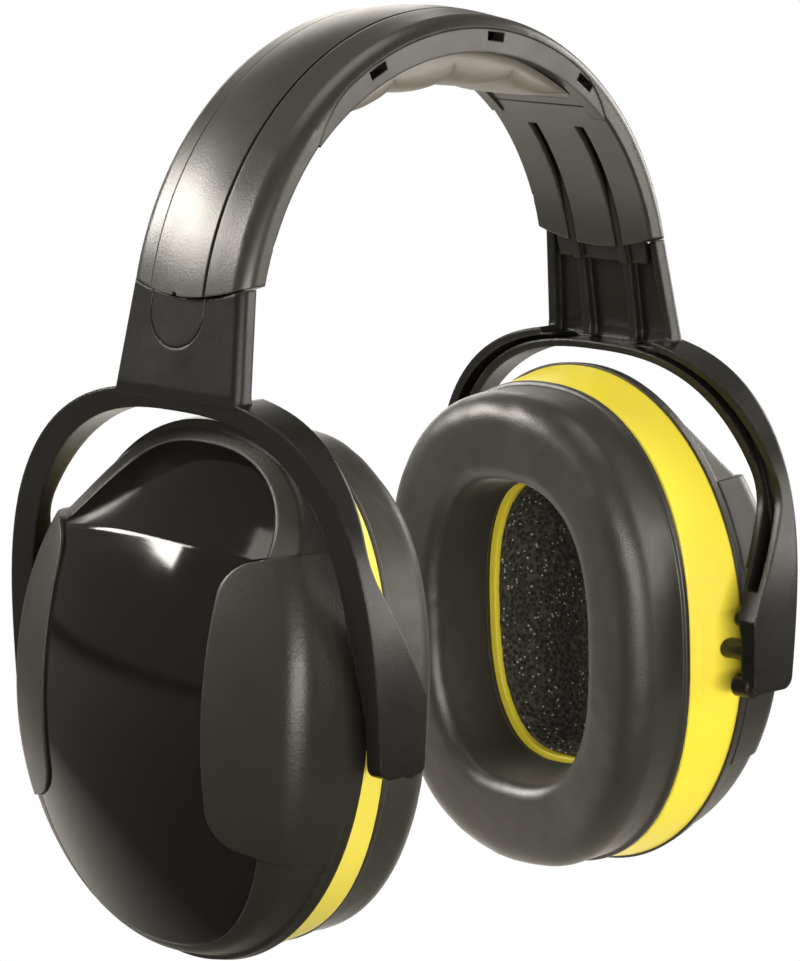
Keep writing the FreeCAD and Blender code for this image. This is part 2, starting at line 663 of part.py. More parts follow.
def cup_pieces():
    """The shell with its raised side panels, and the glossy cover let into it."""
    form = outer_form()
    lowered = form.copy()
    lowered.translate(Vector(-COVER_THICK, 0, 0))
    seat = form.copy()
    seat.translate(Vector(-COVER_THICK - COVER_GAP, 0, 0))
    cover = form.common(cover_prism(0)).cut(lowered)
    raised = dome(PANEL_PROUD)
    shell = form
    for panel in PANELS:
        shell = shell.fuse(raised.common(panel_prism(panel, 0)))
    proud = RIM_PROUD - RIM_DRAFT
    rim = tapered((CUP_HALF_Y + RIM_PROUD, CUP_HALF_Z + RIM_PROUD, SEAM_POWER, 0),
                  (CUP_HALF_Y + proud, CUP_HALF_Z + proud, SEAM_POWER, RIM_HIGH))
    shell = shell.fuse(rim)
    shell = shell.cut(cover_prism(COVER_GAP).cut(seat))
    cavity = cup_form(-SHELL_WALL)
    shell = shell.cut(cavity)
    return shell, cover


def foam_liner():
    """Open-cell liner: fills shell and ring behind the lip, dished over the ear."""
    front = ring_seat_x() + RING_WALL + SOFT_GAP
    back = cup_form(-SHELL_WALL - SOFT_GAP).cut(box(-FAR, SOFT_GAP, -FAR, FAR, -FAR, FAR))
    half_y, half_z = ring_front()
    outline = oval(half_y - FOAM_INSET_Y, half_z - FOAM_INSET_Z, CUP_POWER, front)
    body = back.fuse(prism(outline, Vector(RIM_HIGH - front, 0, 0)))
    lip_end = ring_seat_x() + LIP_DEEP + SOFT_GAP
    body = body.cut(opening(LIP_WALL + SOFT_GAP, front, lip_end - front))
    lip_y, lip_z = lip_half()
    dish = tapered((lip_y, lip_z, LIP_POWER, lip_end),
                   (lip_y - FOAM_DISH_SLOPE, lip_z - FOAM_DISH_SLOPE, LIP_POWER, lip_end + FOAM_DISH))
    return body.cut(dish)


def ring_front():
    """Half sizes of the ring's outline where it meets the cushion."""
    return CUP_HALF_Y - RING_TAPER_Y, CUP_HALF_Z - RING_TAPER_Z


def cushion_hole():
    """Half sizes of the cushion's hole at its face."""
    half_y, half_z = ring_front()
    return half_y - CUSHION_INSET - CUSHION_WIDE_Y, half_z - CUSHION_INSET - CUSHION_WIDE_Z


def lip_half():
    """Half sizes of the opening inside the ring's lip."""
    half_y, half_z = cushion_hole()
    return half_y - LIP_STEP_Y, half_z - LIP_STEP_Z


def ring_seat_x():
    """Plane of the ledge that the cushion's backing plate lies on."""
    return -RING_DEEP + PLATE_THICK + PLATE_CLEAR


def opening(grow, x, deep):
    """Oval prism of the opening over the ear, grown all round."""
    return prism(oval(lip_half()[0] + grow, lip_half()[1] + grow, LIP_POWER, x), Vector(deep, 0, 0))


def base_ring():
    """Bright ring plate: tapered skirt, cushion seat, lip round the opening, bores for the pins."""
    outer = tapered((ring_front()[0], ring_front()[1], CUP_POWER, -RING_DEEP),
                    (CUP_HALF_Y, CUP_HALF_Z, SEAM_POWER, 0))
    inner = tapered((ring_front()[0] - RING_WALL, ring_front()[1] - RING_WALL, CUP_POWER, -RING_DEEP),
                    (CUP_HALF_Y - RING_WALL, CUP_HALF_Z - RING_WALL, SEAM_POWER, 0))
    seat_x = ring_seat_x()
    seat = outer.common(box(seat_x, seat_x + RING_WALL, -FAR, FAR, -FAR, FAR))
    body = outer.cut(inner).fuse([seat, opening(LIP_WALL, seat_x, LIP_DEEP)])
    body = body.cut(opening(0, -FAR, 2 * FAR))
    bore_end = CUP_HALF_Y - PIN_IN_RING - 0.5
    solid_zone = outer.common(box(seat_x, -CARRIER_GAP, -FAR, FAR, -FAR, FAR))
    for sign in (-1, 1):
        start = Vector(PIVOT_X - SEAM_X, sign * (bore_end - RING_WALL), -CUP_ABOVE_PIVOT)
        boss = Part.makeCylinder(BOSS_R, FORK_HALF_Y - bore_end, start, Vector(0, sign, 0))
        body = body.fuse(boss.common(solid_zone))
        bore = Part.makeCylinder(PIN_R + PIN_RUN, FORK_HALF_Y - bore_end,
                                 start + Vector(0, sign * RING_WALL, 0), Vector(0, sign, 0))
        body = body.cut(bore)
    return body.removeSplitter()


def cushion_plate():
    """Stiff backing of the cushion, let into the ring's seat."""
    clear = RING_WALL + 2 * PLATE_CLEAR
    plate = prism(oval(ring_front()[0] - clear, ring_front()[1] - clear, CUP_POWER, -RING_DEEP),
                  Vector(PLATE_THICK, 0, 0))
    return plate.cut(opening(LIP_WALL, -FAR, FAR))


def cushion():
    """Soft seal ring round the ear."""
    back = -RING_DEEP - SOFT_GAP
    face = back - CUSHION_THICK
    half_y, half_z = ring_front()
    lip_y, lip_z = lip_half()
    outline = oval(half_y - CUSHION_INSET, half_z - CUSHION_INSET, CUSHION_POWER, back)
    hole = tapered((lip_y + CUSHION_LIP_CLEAR, lip_z + CUSHION_LIP_CLEAR, LIP_POWER, back),
                   (*cushion_hole(), CUSHION_HOLE_POWER, face))
    body = prism(outline, Vector(-CUSHION_THICK, 0, 0)).cut(hole)
    rims = [edge for edge in body.Edges if edge.BoundBox.XMax < back - CUSHION_THICK / 2]
    return body.makeFillet(CUSHION_ROUND, rims)


def save(name, shape):
    if not shape.isValid():
        print("not valid:", name)
    print(name, "solids", len(shape.Solids), "volume", round(shape.Volume, 1))
    shape.exportStep("parts/" + name + ".step")


def main():
    os.makedirs("parts", exist_ok=True)
    save("headband_shell", headband_shell())
    save("headband_strip", headband_strip())
    save("pad_carrier", pad_carrier())
    save("crown_pad", crown_pad())
    save("right_yoke", yoke())
    save("left_yoke", mirrored(yoke()))
    save("right_stem_cap", stem_cap())
    save("left_stem_cap", mirrored(stem_cap()))
    save("right_pivot_pins", pivot_pins())
    save("left_pivot_pins", mirrored(pivot_pins()))
    shell, cover = cup_pieces()
    cup = {"cup_shell": shell, "cup_cover": cover, "base_ring": base_ring(), "foam_liner": foam_liner(),
           "cushion_plate": cushion_plate(), "cushion": cushion()}
    for name, shape in cup.items():
        save("right_" + name, placed(shape))
        save("left_" + name, mirrored(placed(shape)))


main()
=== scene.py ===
"""Dressed earmuff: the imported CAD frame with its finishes, and the soft pieces built over it."""
import bpy
import json
import math
from mathutils import Matrix, Vector, noise


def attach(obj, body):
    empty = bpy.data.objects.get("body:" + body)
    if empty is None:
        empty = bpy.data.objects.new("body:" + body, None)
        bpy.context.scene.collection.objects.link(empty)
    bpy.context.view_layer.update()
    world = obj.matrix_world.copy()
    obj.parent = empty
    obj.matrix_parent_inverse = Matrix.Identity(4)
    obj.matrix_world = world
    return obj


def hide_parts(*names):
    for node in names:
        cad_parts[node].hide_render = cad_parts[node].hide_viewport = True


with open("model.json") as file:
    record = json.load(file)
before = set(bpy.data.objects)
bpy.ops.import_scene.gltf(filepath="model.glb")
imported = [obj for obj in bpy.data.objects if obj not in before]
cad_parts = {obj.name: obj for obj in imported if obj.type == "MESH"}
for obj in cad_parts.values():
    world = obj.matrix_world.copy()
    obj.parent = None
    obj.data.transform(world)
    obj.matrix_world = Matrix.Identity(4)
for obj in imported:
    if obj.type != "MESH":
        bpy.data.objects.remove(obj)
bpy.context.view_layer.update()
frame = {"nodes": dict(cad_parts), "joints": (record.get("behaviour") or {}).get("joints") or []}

MM = 0.001                 # the soft pieces are worked out in millimetres


# ---- materials: noise and cell scales are per metre, bump distances and bevels in metres

def new_material(name):
    material = bpy.data.materials.new(name)
    material.use_nodes = True
    return material, material.node_tree.nodes, material.node_tree.links


def shaded(factor, colour):
    return tuple(factor * channel for channel in colour)


def noise_node(nodes, links, coord, scale, detail=3.0, rough=0.55):
    node = nodes.new("ShaderNodeTexNoise")
    node.inputs["Scale"].default_value = scale
    node.inputs["Detail"].default_value = detail
    node.inputs["Roughness"].default_value = rough
    links.new(coord, node.inputs["Vector"])
    return node.outputs["Fac"]


def cell_node(nodes, links, coord, scale):
    node = nodes.new("ShaderNodeTexVoronoi")
    node.inputs["Scale"].default_value = scale
    links.new(coord, node.inputs["Vector"])
    return node


def ramp_node(nodes, links, fac, stops):
    node = nodes.new("ShaderNodeValToRGB")
    ramp = node.color_ramp
    while len(ramp.elements) < len(stops):
        ramp.elements.new(0.5)
    for element, (place, colour) in zip(ramp.elements, stops):
        element.position = place
        element.color = (*colour, 1.0)
    links.new(fac, node.inputs["Fac"])
    return node.outputs["Color"]


def map_range(nodes, links, value, source, result):
    """The value carried from one (low, high) range over to another."""
    node = nodes.new("ShaderNodeMapRange")
    for key, number in zip(("From Min", "From Max", "To Min", "To Max"), (*source, *result)):
        node.inputs[key].default_value = number
    links.new(value, node.inputs["Value"])
    return node.outputs["Result"]


def product(nodes, links, a, b):
    node = nodes.new("ShaderNodeMath")
    node.operation = "MULTIPLY"
    links.new(a, node.inputs[0])
    links.new(b, node.inputs[1])
    return node.outputs[0]


def rounded_normal(nodes, links, radius):
    """Normal that turns smoothly over edges, as on a moulding's small radii."""
    bevel = nodes.new("ShaderNodeBevel")
    bevel.samples = 4
    bevel.inputs["Radius"].default_value = radius
    return bevel.outputs["Normal"]


def edge_mask(nodes, links, rounded):
    """0 on flat faces, towards 1 where the rounded normal leaves the face's own."""
    geometry = nodes.new("ShaderNodeNewGeometry")
    dot = nodes.new("ShaderNodeVectorMath")
    dot.operation = "DOT_PRODUCT"
    links.new(rounded, dot.inputs[0])
    links.new(geometry.outputs["Normal"], dot.inputs[1])
    return map_range(nodes, links, dot.outputs["Value"], (0.98, 0.8), (0.0, 1.0))


def mix_colour(nodes, links, fac, tone, colour):
    node = nodes.new("ShaderNodeMix")
    node.data_type = "RGBA"
    colour_a, colour_b, mixed = node.inputs[6], node.inputs[7], node.outputs[2]
    links.new(fac, node.inputs["Factor"])
    links.new(tone, colour_a)
    colour_b.default_value = (*colour, 1.0)
    return mixed


def bump_node(nodes, links, height, strength, distance, normal=None):
    node = nodes.new("ShaderNodeBump")
    node.inputs["Strength"].default_value = strength
    node.inputs["Distance"].default_value = distance
    links.new(height, node.inputs["Height"])
    if normal is not None:
        links.new(normal, node.inputs["Normal"])
    return node.outputs["Normal"]


def plastic(name, colour, worn, rough, grain, grain_depth, bevel, specular=0.5, spread=0.05):
    """Moulded plastic: tone drift, fine grain, rounded and slightly polished edges."""
    material, nodes, links = new_material(name)
    shader = nodes["Principled BSDF"]
    coord = nodes.new("ShaderNodeTexCoord").outputs["Object"]
    drift = noise_node(nodes, links, coord, scale=28.0, detail=4.0)
    tone = ramp_node(nodes, links, drift, [(0.3, shaded(0.86, colour)), (0.7, colour)])
    rounded = rounded_normal(nodes, links, bevel)
    speck = noise_node(nodes, links, coord, scale=420.0, detail=2.0)
    patchy = map_range(nodes, links, speck, (0.45, 0.6), (0.15, 0.7))
    wear = product(nodes, links, edge_mask(nodes, links, rounded), patchy)
    links.new(mix_colour(nodes, links, wear, tone, worn), shader.inputs["Base Color"])
    smear = noise_node(nodes, links, coord, scale=60.0, detail=5.0, rough=0.65)
    links.new(map_range(nodes, links, smear, (0.3, 0.7), (rough - spread, rough + spread)),
              shader.inputs["Roughness"])
    grained = noise_node(nodes, links, coord, scale=grain, detail=2.0, rough=0.6)
    links.new(bump_node(nodes, links, grained, 0.5, grain_depth, rounded), shader.inputs["Normal"])
    shader.inputs["Specular IOR Level"].default_value = specular
    return material


def gloss_cover(name, colour):
    """High-gloss moulding with faint hairlines and handling marks."""
    material, nodes, links = new_material(name)
    shader = nodes["Principled BSDF"]
    coord = nodes.new("ShaderNodeTexCoord").outputs["Object"]
    drift = noise_node(nodes, links, coord, scale=18.0, detail=3.0)
    tone = ramp_node(nodes, links, drift, [(0.3, shaded(0.85, colour)), (0.7, colour)])
    links.new(tone, shader.inputs["Base Color"])
    smear = noise_node(nodes, links, coord, scale=45.0, detail=6.0, rough=0.7)
    links.new(map_range(nodes, links, smear, (0.35, 0.75), (0.06, 0.13)), shader.inputs["Roughness"])
    brushed = nodes.new("ShaderNodeMapping")
    brushed.inputs["Scale"].default_value = (1.0, 6.0, 90.0)
    brushed.inputs["Rotation"].default_value = (0.5, 0.0, 0.0)
    links.new(coord, brushed.inputs["Vector"])
    hairline = noise_node(nodes, links, brushed.outputs["Vector"], scale=40.0, detail=2.0)
    rounded = rounded_normal(nodes, links, 0.0005)
    links.new(bump_node(nodes, links, hairline, 0.12, 0.00002, rounded), shader.inputs["Normal"])
    shader.inputs["Specular IOR Level"].default_value = 0.42
    return material


def leatherette(name, colour, light):
    """Smooth cushion skin: pebble grain, soft sheen, paler in patches that drift at random."""
    material, nodes, links = new_material(name)
    shader = nodes["Principled BSDF"]
    coord = nodes.new("ShaderNodeTexCoord").outputs["Object"]
    drift = noise_node(nodes, links, coord, scale=22.0, detail=5.0, rough=0.6)
    tone = ramp_node(nodes, links, drift, [(0.25, shaded(0.82, colour)), (0.6, colour), (0.85, light)])
    links.new(tone, shader.inputs["Base Color"])
    cells = cell_node(nodes, links, coord, scale=1500.0)
    cells.feature = "DISTANCE_TO_EDGE"
    pebbles = map_range(nodes, links, cells.outputs["Distance"], (0.0, 0.25), (0.0, 1.0))
    pebbled = bump_node(nodes, links, pebbles, 0.35, 0.00003)
    folds = noise_node(nodes, links, coord, scale=140.0, detail=4.0, rough=0.6)
    links.new(bump_node(nodes, links, folds, 0.35, 0.00025, pebbled), shader.inputs["Normal"])
    smear = noise_node(nodes, links, coord, scale=75.0, detail=4.0, rough=0.6)
    links.new(map_range(nodes, links, smear, (0.3, 0.7), (0.34, 0.46)), shader.inputs["Roughness"])
    shader.inputs["Specular IOR Level"].default_value = 0.45
    shader.inputs["Sheen Weight"].default_value = 0.15
    shader.inputs["Sheen Roughness"].default_value = 0.4
    return material


def open_foam(name, colour, fleck):
    """Open-cell foam: pitted, dull, with painted shade in its pits, painted light on the cell rims, and
    small light flecks in some of its cells.
    """
    material, nodes, links = new_material(name)
    shader = nodes["Principled BSDF"]
    coord = nodes.new("ShaderNodeTexCoord").outputs["Object"]
    depth = cell_node(nodes, links, coord, scale=1100.0).outputs["Distance"]
    # painted shade: the colour darkens towards each cell's middle, where the pit lies in shade, and lightens
    # on the cell rims
    pit_shade_colour = ramp_node(nodes, links, depth,
                     [(0.1, shaded(0.3, colour)), (0.55, colour), (0.9, shaded(1.7, colour))])
    spots = cell_node(nodes, links, coord, scale=1050.0)
    dot = map_range(nodes, links, spots.outputs["Distance"], (0.30, 0.18), (0.0, 1.0))
    lot = nodes.new("ShaderNodeSeparateColor")
    links.new(spots.outputs["Color"], lot.inputs["Color"])
    rare = map_range(nodes, links, lot.outputs["Red"], (0.60, 0.64), (0.0, 1.0))
    flecks = product(nodes, links, dot, rare)
    links.new(mix_colour(nodes, links, flecks, pit_shade_colour, fleck), shader.inputs["Base Color"])
    links.new(bump_node(nodes, links, depth, 0.9, 0.0006), shader.inputs["Normal"])
    links.new(map_range(nodes, links, depth, (0.1, 0.8), (0.95, 0.75)), shader.inputs["Roughness"])
    shader.inputs["Specular IOR Level"].default_value = 0.25
    return material


BAND_RUBBED = (0.09, 0.083, 0.070)
YOKE_BLACK = (0.0105, 0.0096, 0.0080)
YOKE_RUBBED = (0.04, 0.037, 0.031)
FINISHES = {
    "headband_shell": plastic("band_finish", (0.023, 0.021, 0.0172), BAND_RUBBED, rough=0.33,
                              grain=2300.0, grain_depth=0.00005, bevel=0.0006),
    "headband_strip": plastic("strip_finish", (0.025, 0.0228, 0.019), BAND_RUBBED, rough=0.32,
                              grain=2300.0, grain_depth=0.00005, bevel=0.0003),
    "pad_carrier": plastic("carrier_finish", (0.015, 0.0138, 0.0115), (0.06, 0.056, 0.048), rough=0.34,
                           grain=1800.0, grain_depth=0.00003, bevel=0.0005),
    "yoke": plastic("yoke_finish", YOKE_BLACK, YOKE_RUBBED, rough=0.28,
                    grain=2300.0, grain_depth=0.00004, bevel=0.0008, specular=0.27),
    "stem_cap": plastic("cap_finish", YOKE_BLACK, YOKE_RUBBED, rough=0.30,
                        grain=2300.0, grain_depth=0.00003, bevel=0.0005, specular=0.27),
    "pivot_pins": plastic("pin_finish", (0.014, 0.013, 0.0115), (0.07, 0.068, 0.06), rough=0.3,
                          grain=900.0, grain_depth=0.00002, bevel=0.0004),
    "cup_shell": plastic("shell_finish", (0.021, 0.019, 0.0157), (0.055, 0.050, 0.042), rough=0.38,
                         grain=1700.0, grain_depth=0.00008, bevel=0.0007, specular=0.38),
    "cup_cover": gloss_cover("cover_finish", (0.0062, 0.0057, 0.0048)),
    "base_ring": plastic("ring_finish", (0.86, 0.73, 0.055), (0.90, 0.78, 0.10), rough=0.36,
                         grain=1700.0, grain_depth=0.00003, bevel=0.0006, spread=0.03),
    "cushion_plate": plastic("plate_finish", (0.015, 0.014, 0.012), (0.04, 0.038, 0.034), rough=0.5,
                             grain=1200.0, grain_depth=0.00005, bevel=0.0003),
}
CUSHION = leatherette("cushion_finish", (0.025, 0.0225, 0.0182), (0.034, 0.0305, 0.025))
PAD = leatherette("pad_finish", (0.17, 0.156, 0.132), (0.21, 0.193, 0.165))
FOAM = open_foam("foam_finish", (0.046, 0.043, 0.036), (0.42, 0.40, 0.34))

for name, node in frame["nodes"].items():
    kind = name.removeprefix("right_").removeprefix("left_")
    if kind in FINISHES:
        for place in node.material_slots:
            place.material = FINISHES[kind]


# ---- soft pieces

def superellipse(half_y, half_z, power, turn):
    c, s = math.cos(turn), math.sin(turn)
    reach = (abs(c / half_y) ** power + abs(s / half_z) ** power) ** (-1 / power)
    return reach * c, reach * s


def signed_power(value, power):
    return math.copysign(abs(value) ** power, value)


def add_object(name, verts, faces, material, body):
    mesh = bpy.data.meshes.new(name)
    mesh.from_pydata([tuple(v) for v in verts], [], faces)
    mesh.validate()
    mesh.polygons.foreach_set("use_smooth", [True] * len(mesh.polygons))
    mesh.materials.append(material)
    obj = bpy.data.objects.new(name, mesh)
    bpy.context.scene.collection.objects.link(obj)
    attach(obj, body)
    return obj


def ring_faces(rows, columns, wrap_rows=True):
    """Quads between the rows of a grid whose columns close on themselves."""
    faces = []
    for i in range(rows if wrap_rows else rows - 1):
        for j in range(columns):
            a = i * columns + j
            b = i * columns + (j + 1) % columns
            c = ((i + 1) % rows) * columns + (j + 1) % columns
            d = ((i + 1) % rows) * columns + j
            faces.append((a, b, c, d))
    return faces


def rounded_section(corners, steps=10):
    """Closed outline through the corners (x, y, radius), each corner turned with its radius."""
    points = []
    count = len(corners)
    for i in range(count):
        x, y, radius = corners[i]
        here = Vector((x, y))
        before = (Vector(corners[i - 1][:2]) - here).normalized()
        after = (Vector(corners[(i + 1) % count][:2]) - here).normalized()
        half = before.angle(after) / 2
        centre = here + (before + after).normalized() * radius / math.sin(half)
        start = here + before * radius / math.tan(half) - centre
        end = here + after * radius / math.tan(half) - centre
        turn = start.angle_signed(end)
        for k in range(steps + 1):
            a = -turn * k / steps
            c, s = math.cos(a), math.sin(a)
            points.append(centre + Vector((c * start.x - s * start.y, s * start.x + c * start.y)))
    return points


def evenly(points, gap):
    """Points added along a closed outline so that no step is much longer than the gap."""
    dense = []
    for a, b in zip(points, points[1:] + points[:1]):
        steps = max(1, int((b - a).length / gap))
        dense += [a + (b - a) * k / steps for k in range(steps)]
    return dense


# cup frame: u outward from the seam between ring and shell, y and z about the cup's centre
SEAM_X = 52.9
PIVOT_X = 50.6
PIVOT_Z = next(1000 * joint["pos_m"][2] for joint in frame["joints"] if joint["name"] == "right_tilt")
CUP_ABOVE_PIVOT = 1.1
CUP_SPLAY = 2.8            # degrees, the seals lean apart at the bottom


def cup_matrix(side):
    """Cup frame in millimetres to the row frame in metres."""
    sign = 1 if side == "right" else -1
    seat = Matrix.Translation((SEAM_X - PIVOT_X, 0, CUP_ABOVE_PIVOT))
    tilt = Matrix.Rotation(math.radians(-CUP_SPLAY), 4, "Y")
    base = Matrix.Translation((PIVOT_X, 0, PIVOT_Z))
    mirror = Matrix.Diagonal((sign, 1, 1, 1))
    return Matrix.Scale(MM, 4) @ mirror @ base @ tilt @ seat


# outlines: half width, half height, power of the superellipse
RING_DEEP = 10.2           # from the seam to the ring's front
RING_FRONT = (36.6, 48.9)
CUSHION_OUTER = (RING_FRONT[0] - 0.1, RING_FRONT[1] + 0.2, 2.3)
CUSHION_HOLE = (21.4, 31.6, 2.6)
CUSHION_FOOT = (18.1, 29.1, 2.6)       # the hole where it meets the lip
CUSHION_CLEAR = 0.3        # to the ring's front
CUSHION_THICK = 14.2
CUSHION_CROWN = 0.5        # the face stands up by this between its rims
FOOT_RUN = 3.4             # the inner wall slopes in by this to the foot
BEAD_PROUD = 0.35          # seam bead beside the ring
BEAD_HIGH = 1.1
OUTER_RIM_R = 5.2
INNER_RIM_R = 3.2
SECTION_STEP = 0.6
CUSHION_ROWS = 240
TAUT_HIGH = 6.0            # the skin lies taut at the seam and loosens up to this height
SWELL = 0.35               # depths of the skin's unevenness
PUCKER = 0.10
SHIFT_PER_PULL = 60        # the ring draws in a little where the skin is uneven


def build_cushion(side):
    """Stuffed ring: straight outer wall, full face, rounded rim, inner wall sloping in to the lip."""
    wide = CUSHION_OUTER[0] - CUSHION_HOLE[0]
    section = evenly(rounded_section([
        (-BEAD_PROUD, 0.0, 0.3),
        (-BEAD_PROUD, BEAD_HIGH, 0.45),
        (BEAD_PROUD, BEAD_HIGH + 0.4, 0.35),
        (0.3, CUSHION_THICK, OUTER_RIM_R),
        (wide, CUSHION_THICK - 0.1, INNER_RIM_R),
        (wide + FOOT_RUN, 0.0, 0.6)]), SECTION_STEP)
    matrix = cup_matrix(side)
    verts = []
    for i in range(CUSHION_ROWS):
        turn = 2 * math.pi * i / CUSHION_ROWS
        outer = Vector(superellipse(*CUSHION_OUTER, turn))
        hole = Vector(superellipse(*CUSHION_HOLE, turn))
        foot = Vector(superellipse(*CUSHION_FOOT, turn))
        for across, high in section:
            if across <= wide:
                place = outer + (hole - outer) * (across / wide)
            else:
                place = hole + (foot - hole) * ((across - wide) / FOOT_RUN)
            on_face = high > CUSHION_THICK / 2
            crown = CUSHION_CROWN * math.sin(math.pi * min(1.0, max(0.0, across / wide))) if on_face else 0.0
            u = -RING_DEEP - CUSHION_CLEAR - high - crown
            swell = SWELL * noise.noise(Vector((u * 0.06, place.x * 0.08, place.y * 0.06)))
            pucker = PUCKER * noise.noise(Vector((u * 0.35 + 7, place.x * 0.3, place.y * 0.3)))
            shift = (swell + pucker) * min(1.0, max(0.0, high / TAUT_HIGH))
            pull = 1 - abs(shift) / SHIFT_PER_PULL
            verts.append(matrix @ Vector((u + shift, place.x * pull, place.y * pull)))
    obj = add_object(side + "_cushion_skin", verts, ring_faces(CUSHION_ROWS, len(section)), CUSHION,
                     side + "_cup")
    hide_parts(side + "_cushion")


# the foam's outlines (u, half width, half height): in over its rim to the lip, through the dish
# to its middle, then from the middle of its back out along the shell
FOAM_OUTLINES = [
    (-6.2, 32.4, 43.0), (-6.15, 24.0, 35.0), (-6.1, 17.7, 28.7), (-7.9, 17.4, 28.4), (-7.8, 16.9, 27.9),
    (-5.0, 16.4, 27.3), (-3.0, 15.8, 26.6), (-1.0, 14.4, 25.0), (0.0, 11.6, 21.5), (0.4, 8.0, 15.0),
    (0.5, 4.0, 7.5), (0.5, 0.4, 0.8),
    (12.0, 0.4, 0.8), (12.0, 20.0, 26.0), (9.0, 30.0, 36.0), (2.0, 32.4, 43.0)]
FOAM_STEPS = 5             # between two outlines
FOAM_POWER = 2.6
FOAM_COLUMNS = 160
FOAM_PITTING = 0.22
FOAM_PITS_PER_MM = 0.9


def build_foam(side):
    """Block of foam in the cup, dished over the ear."""
    levels = []
    for a, b in zip(FOAM_OUTLINES, FOAM_OUTLINES[1:] + FOAM_OUTLINES[:1]):
        levels += [tuple(p + (q - p) * k / FOAM_STEPS for p, q in zip(a, b)) for k in range(FOAM_STEPS)]
    matrix = cup_matrix(side)
    verts = []
    for u, half_y, half_z in levels:
        for i in range(FOAM_COLUMNS):
            y, z = superellipse(half_y, half_z, FOAM_POWER, 2 * math.pi * i / FOAM_COLUMNS)
            pit = FOAM_PITTING * noise.noise(Vector([FOAM_PITS_PER_MM * place for place in (u, y, z)]))
            verts.append(matrix @ Vector((u + pit, y, z)))
    obj = add_object(side + "_foam_core", verts, ring_faces(len(levels), FOAM_COLUMNS), FOAM,
                     side + "_cup")
    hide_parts(side + "_foam_liner")


# radii about the band's centre, angles in degrees from the top
ARCH_Z = PIVOT_Z + 65.7
PAD_TOP_R = 54.6
PAD_INNER_R = 46.2
PAD_END_RISE = 5.0         # the pad is thinner by this at the angle below
PAD_RISE_ANGLE = 35.0
PAD_STEP = 18.5
PAD_COUNT = 4
PAD_HALF = 11.9
PAD_SPARE = 1.5            # degrees past the last lobe
PAD_VALLEY = 3.1           # depth between two lobes
PAD_LIP = 0.6              # thickness left at the ends
PAD_ROWS, PAD_COLUMNS = 200, 44
LOBE_FULLNESS = 0.75
END_SHARPNESS = 14
HEAD_SIDE_POWER, CARRIER_SIDE_POWER, RIM_POWER = 0.62, 0.3, 0.55


def build_pad():
    """Crown pad: soft lobes with valleys between them, rolled over at the rim."""
    reach = PAD_STEP * PAD_COUNT / 2
    half = reach + PAD_SPARE
    verts = []
    for i in range(PAD_ROWS + 1):
        angle = -half + 2 * half * i / PAD_ROWS
        lobe = (angle + reach) / PAD_STEP
        phase = lobe - math.floor(lobe)
        bulge = math.sqrt(max(0.0, 1 - (2 * phase - 1) ** 2)) ** LOBE_FULLNESS
        if not 0 <= lobe <= PAD_COUNT:
            bulge = 0.0
        full = max(0.0, 1 - (abs(angle) / half) ** END_SHARPNESS)
        low = PAD_INNER_R + PAD_END_RISE * (angle / PAD_RISE_ANGLE) ** 2
        valley = low + PAD_VALLEY
        inner = (valley + (low - valley) * bulge) * full + (PAD_TOP_R - PAD_LIP) * (1 - full)
        centre = (PAD_TOP_R + inner) / 2
        thick = (PAD_TOP_R - inner) / 2
        for j in range(PAD_COLUMNS):
            a = 2 * math.pi * j / PAD_COLUMNS
            c, s = math.cos(a), math.sin(a)
            y = PAD_HALF * (0.9 + 0.1 * full) * signed_power(c, RIM_POWER)
            r = centre + thick * signed_power(s, HEAD_SIDE_POWER if s < 0 else CARRIER_SIDE_POWER)
            r += 0.12 * noise.noise(Vector((angle * 0.12, y * 0.12, r * 0.1)))
            t = math.radians(angle)
            verts.append((MM * r * math.sin(t), MM * y, MM * (ARCH_Z + r * math.cos(t))))
    faces = ring_faces(PAD_ROWS + 1, PAD_COLUMNS, wrap_rows=False)
    faces.append(tuple(range(PAD_COLUMNS)))
    faces.append(tuple(reversed(range(PAD_ROWS * PAD_COLUMNS, (PAD_ROWS + 1) * PAD_COLUMNS))))
    obj = add_object("crown_pad_skin", verts, faces, PAD, "headband")
    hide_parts("crown_pad")


for side_name in ("right", "left"):
    build_cushion(side_name)
    build_foam(side_name)
build_pad()


# ---- stage, light and camera

WORLD_STRENGTH = 0.25
WORLD_COLOUR = (1.0, 0.965, 0.90)
LAMP_COLOUR = (1.0, 0.955, 0.875)
LAMP_AIM = (0.0, 0.0, 0.09)
SOFTBOXES = [              # name, place, width, height, watts
    ("back_left", (-0.62, 0.86, 0.60), 0.8, 0.28, 21.0),
    ("back_right", (0.60, 0.90, 0.35), 0.5, 0.6, 3.0),
    ("right_side", (1.15, 0.0, 0.35), 0.4, 0.6, 6.0),
    ("front_right", (0.82, -0.82, 0.20), 0.5, 0.5, 6.0),
    ("low_front", (-0.55, -1.00, 0.12), 0.9, 0.2, 15.0),
    ("overhead", (0.0, 0.0, 1.20), 0.8, 0.8, 6.0),
]


def white_to_camera(nodes, links, lit, white, output):
    """The lit shader for every ray but the camera's, which sees plain white."""
    path = nodes.new("ShaderNodeLightPath")
    mix = nodes.new("ShaderNodeMixShader")
    links.new(path.outputs["Is Camera Ray"], mix.inputs["Fac"])
    links.new(lit, mix.inputs[1])
    links.new(white, mix.inputs[2])
    links.new(mix.outputs["Shader"], nodes[output].inputs["Surface"])


def world_light():
    world = bpy.data.worlds.new("studio")
    bpy.context.scene.world = world
    world.use_nodes = True
    nodes, links = world.node_tree.nodes, world.node_tree.links
    background = nodes["Background"]
    background.inputs["Color"].default_value = (*WORLD_COLOUR, 1.0)
    background.inputs["Strength"].default_value = WORLD_STRENGTH
    white = nodes.new("ShaderNodeBackground")
    white.inputs["Color"].default_value = (1.0, 1.0, 1.0, 1.0)
    white.inputs["Strength"].default_value = 1.0
    white_to_camera(nodes, links, background.outputs["Background"], white.outputs["Background"],
                    "World Output")


